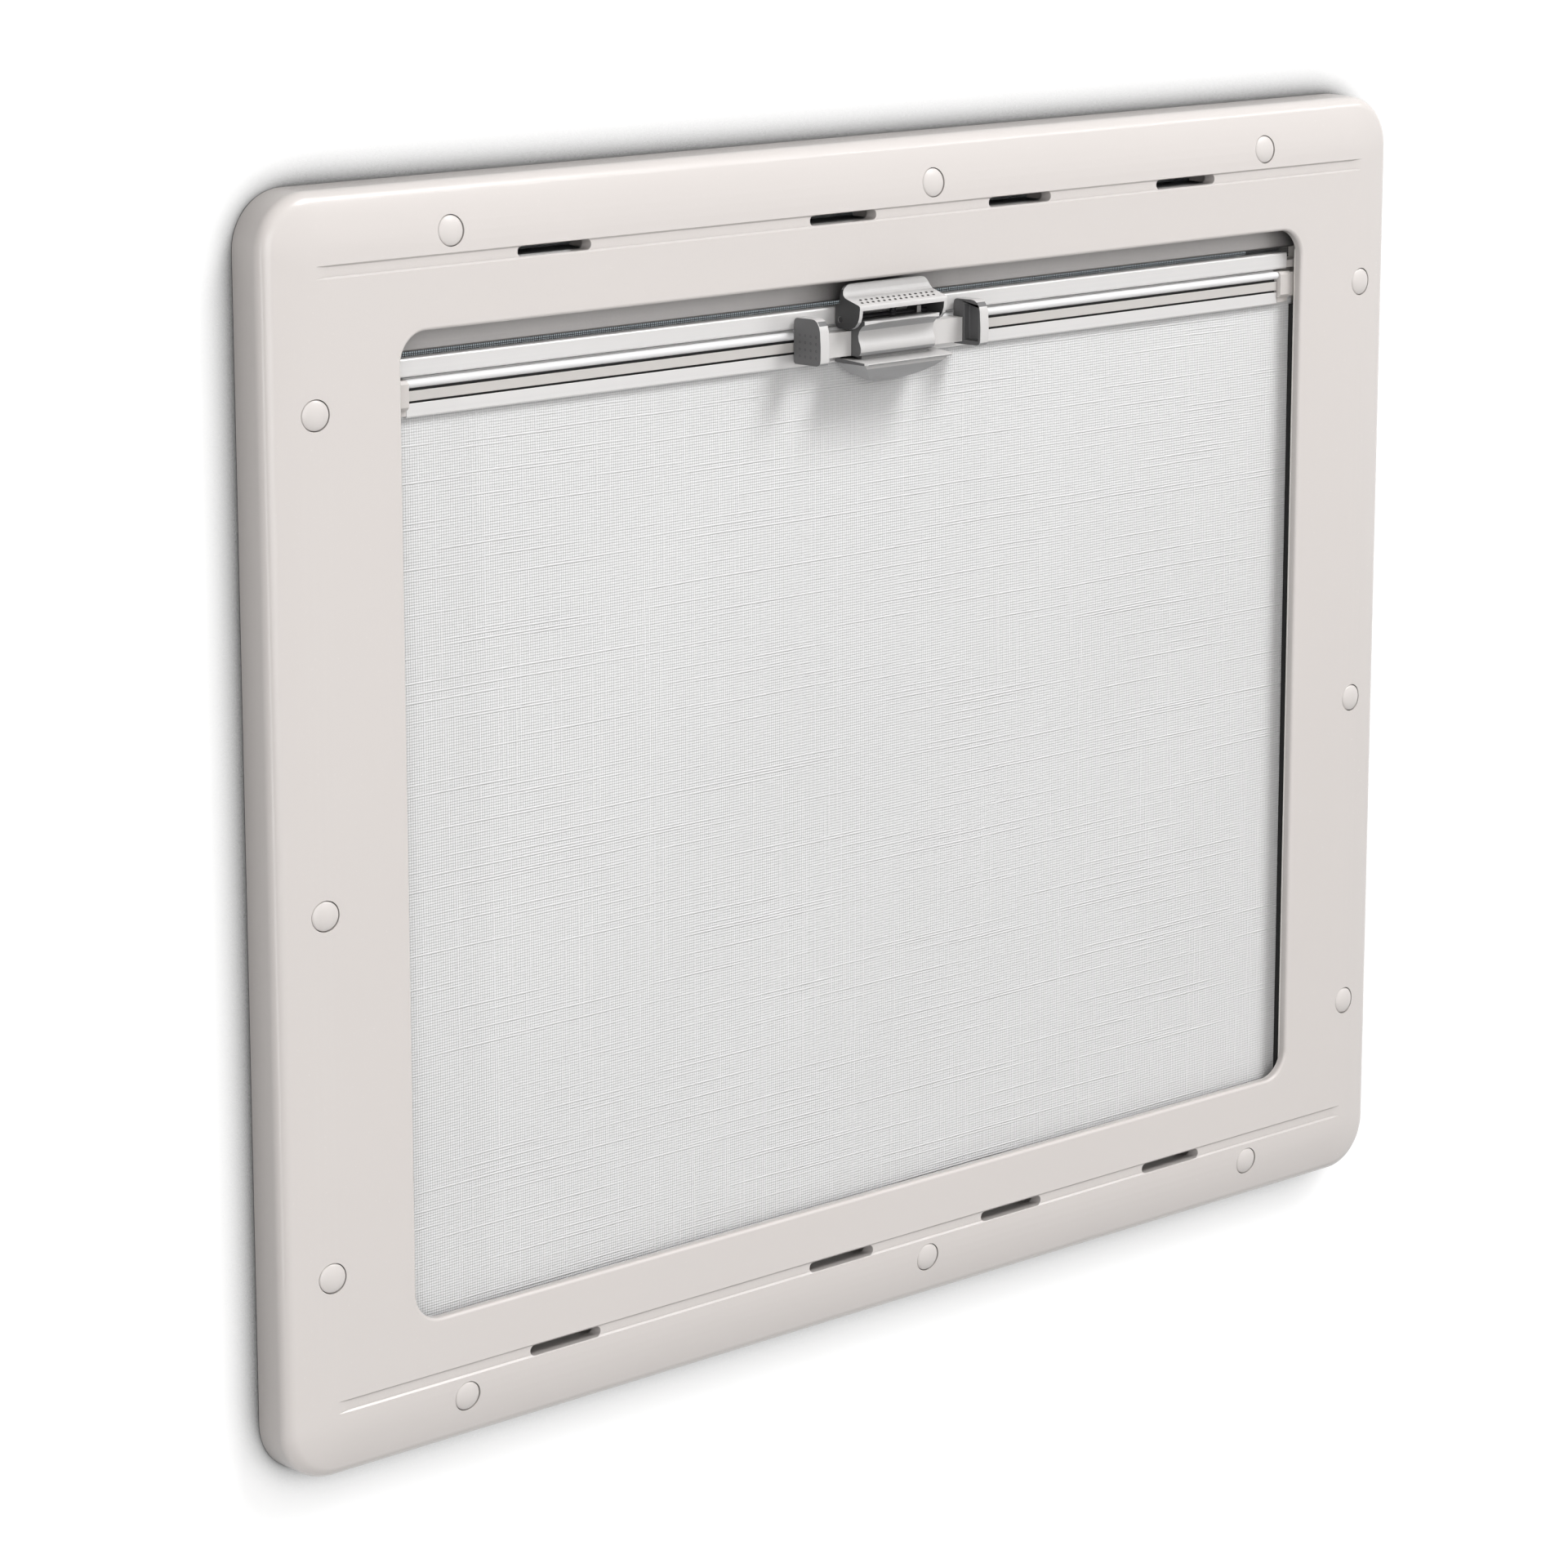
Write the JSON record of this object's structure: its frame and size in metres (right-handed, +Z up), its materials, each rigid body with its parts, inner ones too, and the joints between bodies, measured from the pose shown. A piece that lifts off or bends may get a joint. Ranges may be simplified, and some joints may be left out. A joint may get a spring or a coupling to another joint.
{
  "type": "caravan window",
  "caption": "Framed caravan window with a drawn roller blind, flyscreen rail, centre latch and, behind the wall gap, a top-hung double pane in an outer frame.",
  "frame": {"origin": "middle of the bottom strip of the room-side frame that rests on the wall's room face", "axes": "+Z up, +X to the right seen from the room, +Y through the wall to the outside"},
  "size_m": [0.77, 0.0949, 0.63],
  "materials": {
    "frame_plastic": "satin",
    "cap_plastic": "satin",
    "rail_aluminium": "satin",
    "rail_end_plastic": "satin",
    "guide_plastic": "satin",
    "latch_plastic": "satin",
    "dark_plastic": "satin",
    "brush": "matte",
    "rubber": "matte",
    "cloth": "matte",
    "mesh": "matte",
    "outer_plastic": "satin",
    "acrylic": "polished",
    "steel": "satin"
  },
  "bodies": {
    "root": {"inner_frame": "frame_plastic", "screw_caps": "cap_plastic", "top_cassette": "rail_aluminium", "bottom_cassette": "rail_aluminium", "roller_brackets": "dark_plastic", "flyscreen_roll": "mesh", "blind_roll": "cloth", "side_guides": "guide_plastic", "guide_brushes": "brush", "flyscreen_rail": "rail_aluminium", "flyscreen_mesh": "mesh", "blind_rail": "rail_aluminium", "rail_bead": "guide_plastic", "rail_ends": "rail_end_plastic", "blind_cloth": "cloth", "latch_bracket": "rail_end_plastic", "latch_ears": "latch_plastic", "latch_body": "latch_plastic", "latch_pin": "steel", "latch_spring": "steel", "outer_frame": "outer_plastic", "wall_seal": "rubber", "pane_seal": "rubber", "inner_pane": "acrylic", "pane_spacer": "dark_plastic", "outer_pane": "acrylic", "hinge_rail": "rail_aluminium", "pane_rail": "rail_aluminium", "hinge_ends": "dark_plastic", "stay_tubes": "rail_aluminium", "stay_rods": "steel", "stay_knobs": "dark_plastic", "stay_frame_brackets": "dark_plastic", "stay_pane_brackets": "dark_plastic", "catch_bases": "dark_plastic", "catch_levers": "dark_plastic", "catch_keepers": "steel"},
    "latch_lever": {"latch_lever": "latch_plastic"}
  },
  "joints": [
    {"name": "latch_press", "type": "hinge", "parent": "root", "child": "latch_lever", "pos_m": [0, -0.0242, 0.5248], "axis": [1, 0, 0], "range_deg": [0, 8], "stiffness_Nm_per_rad": 0.4}
  ]
}
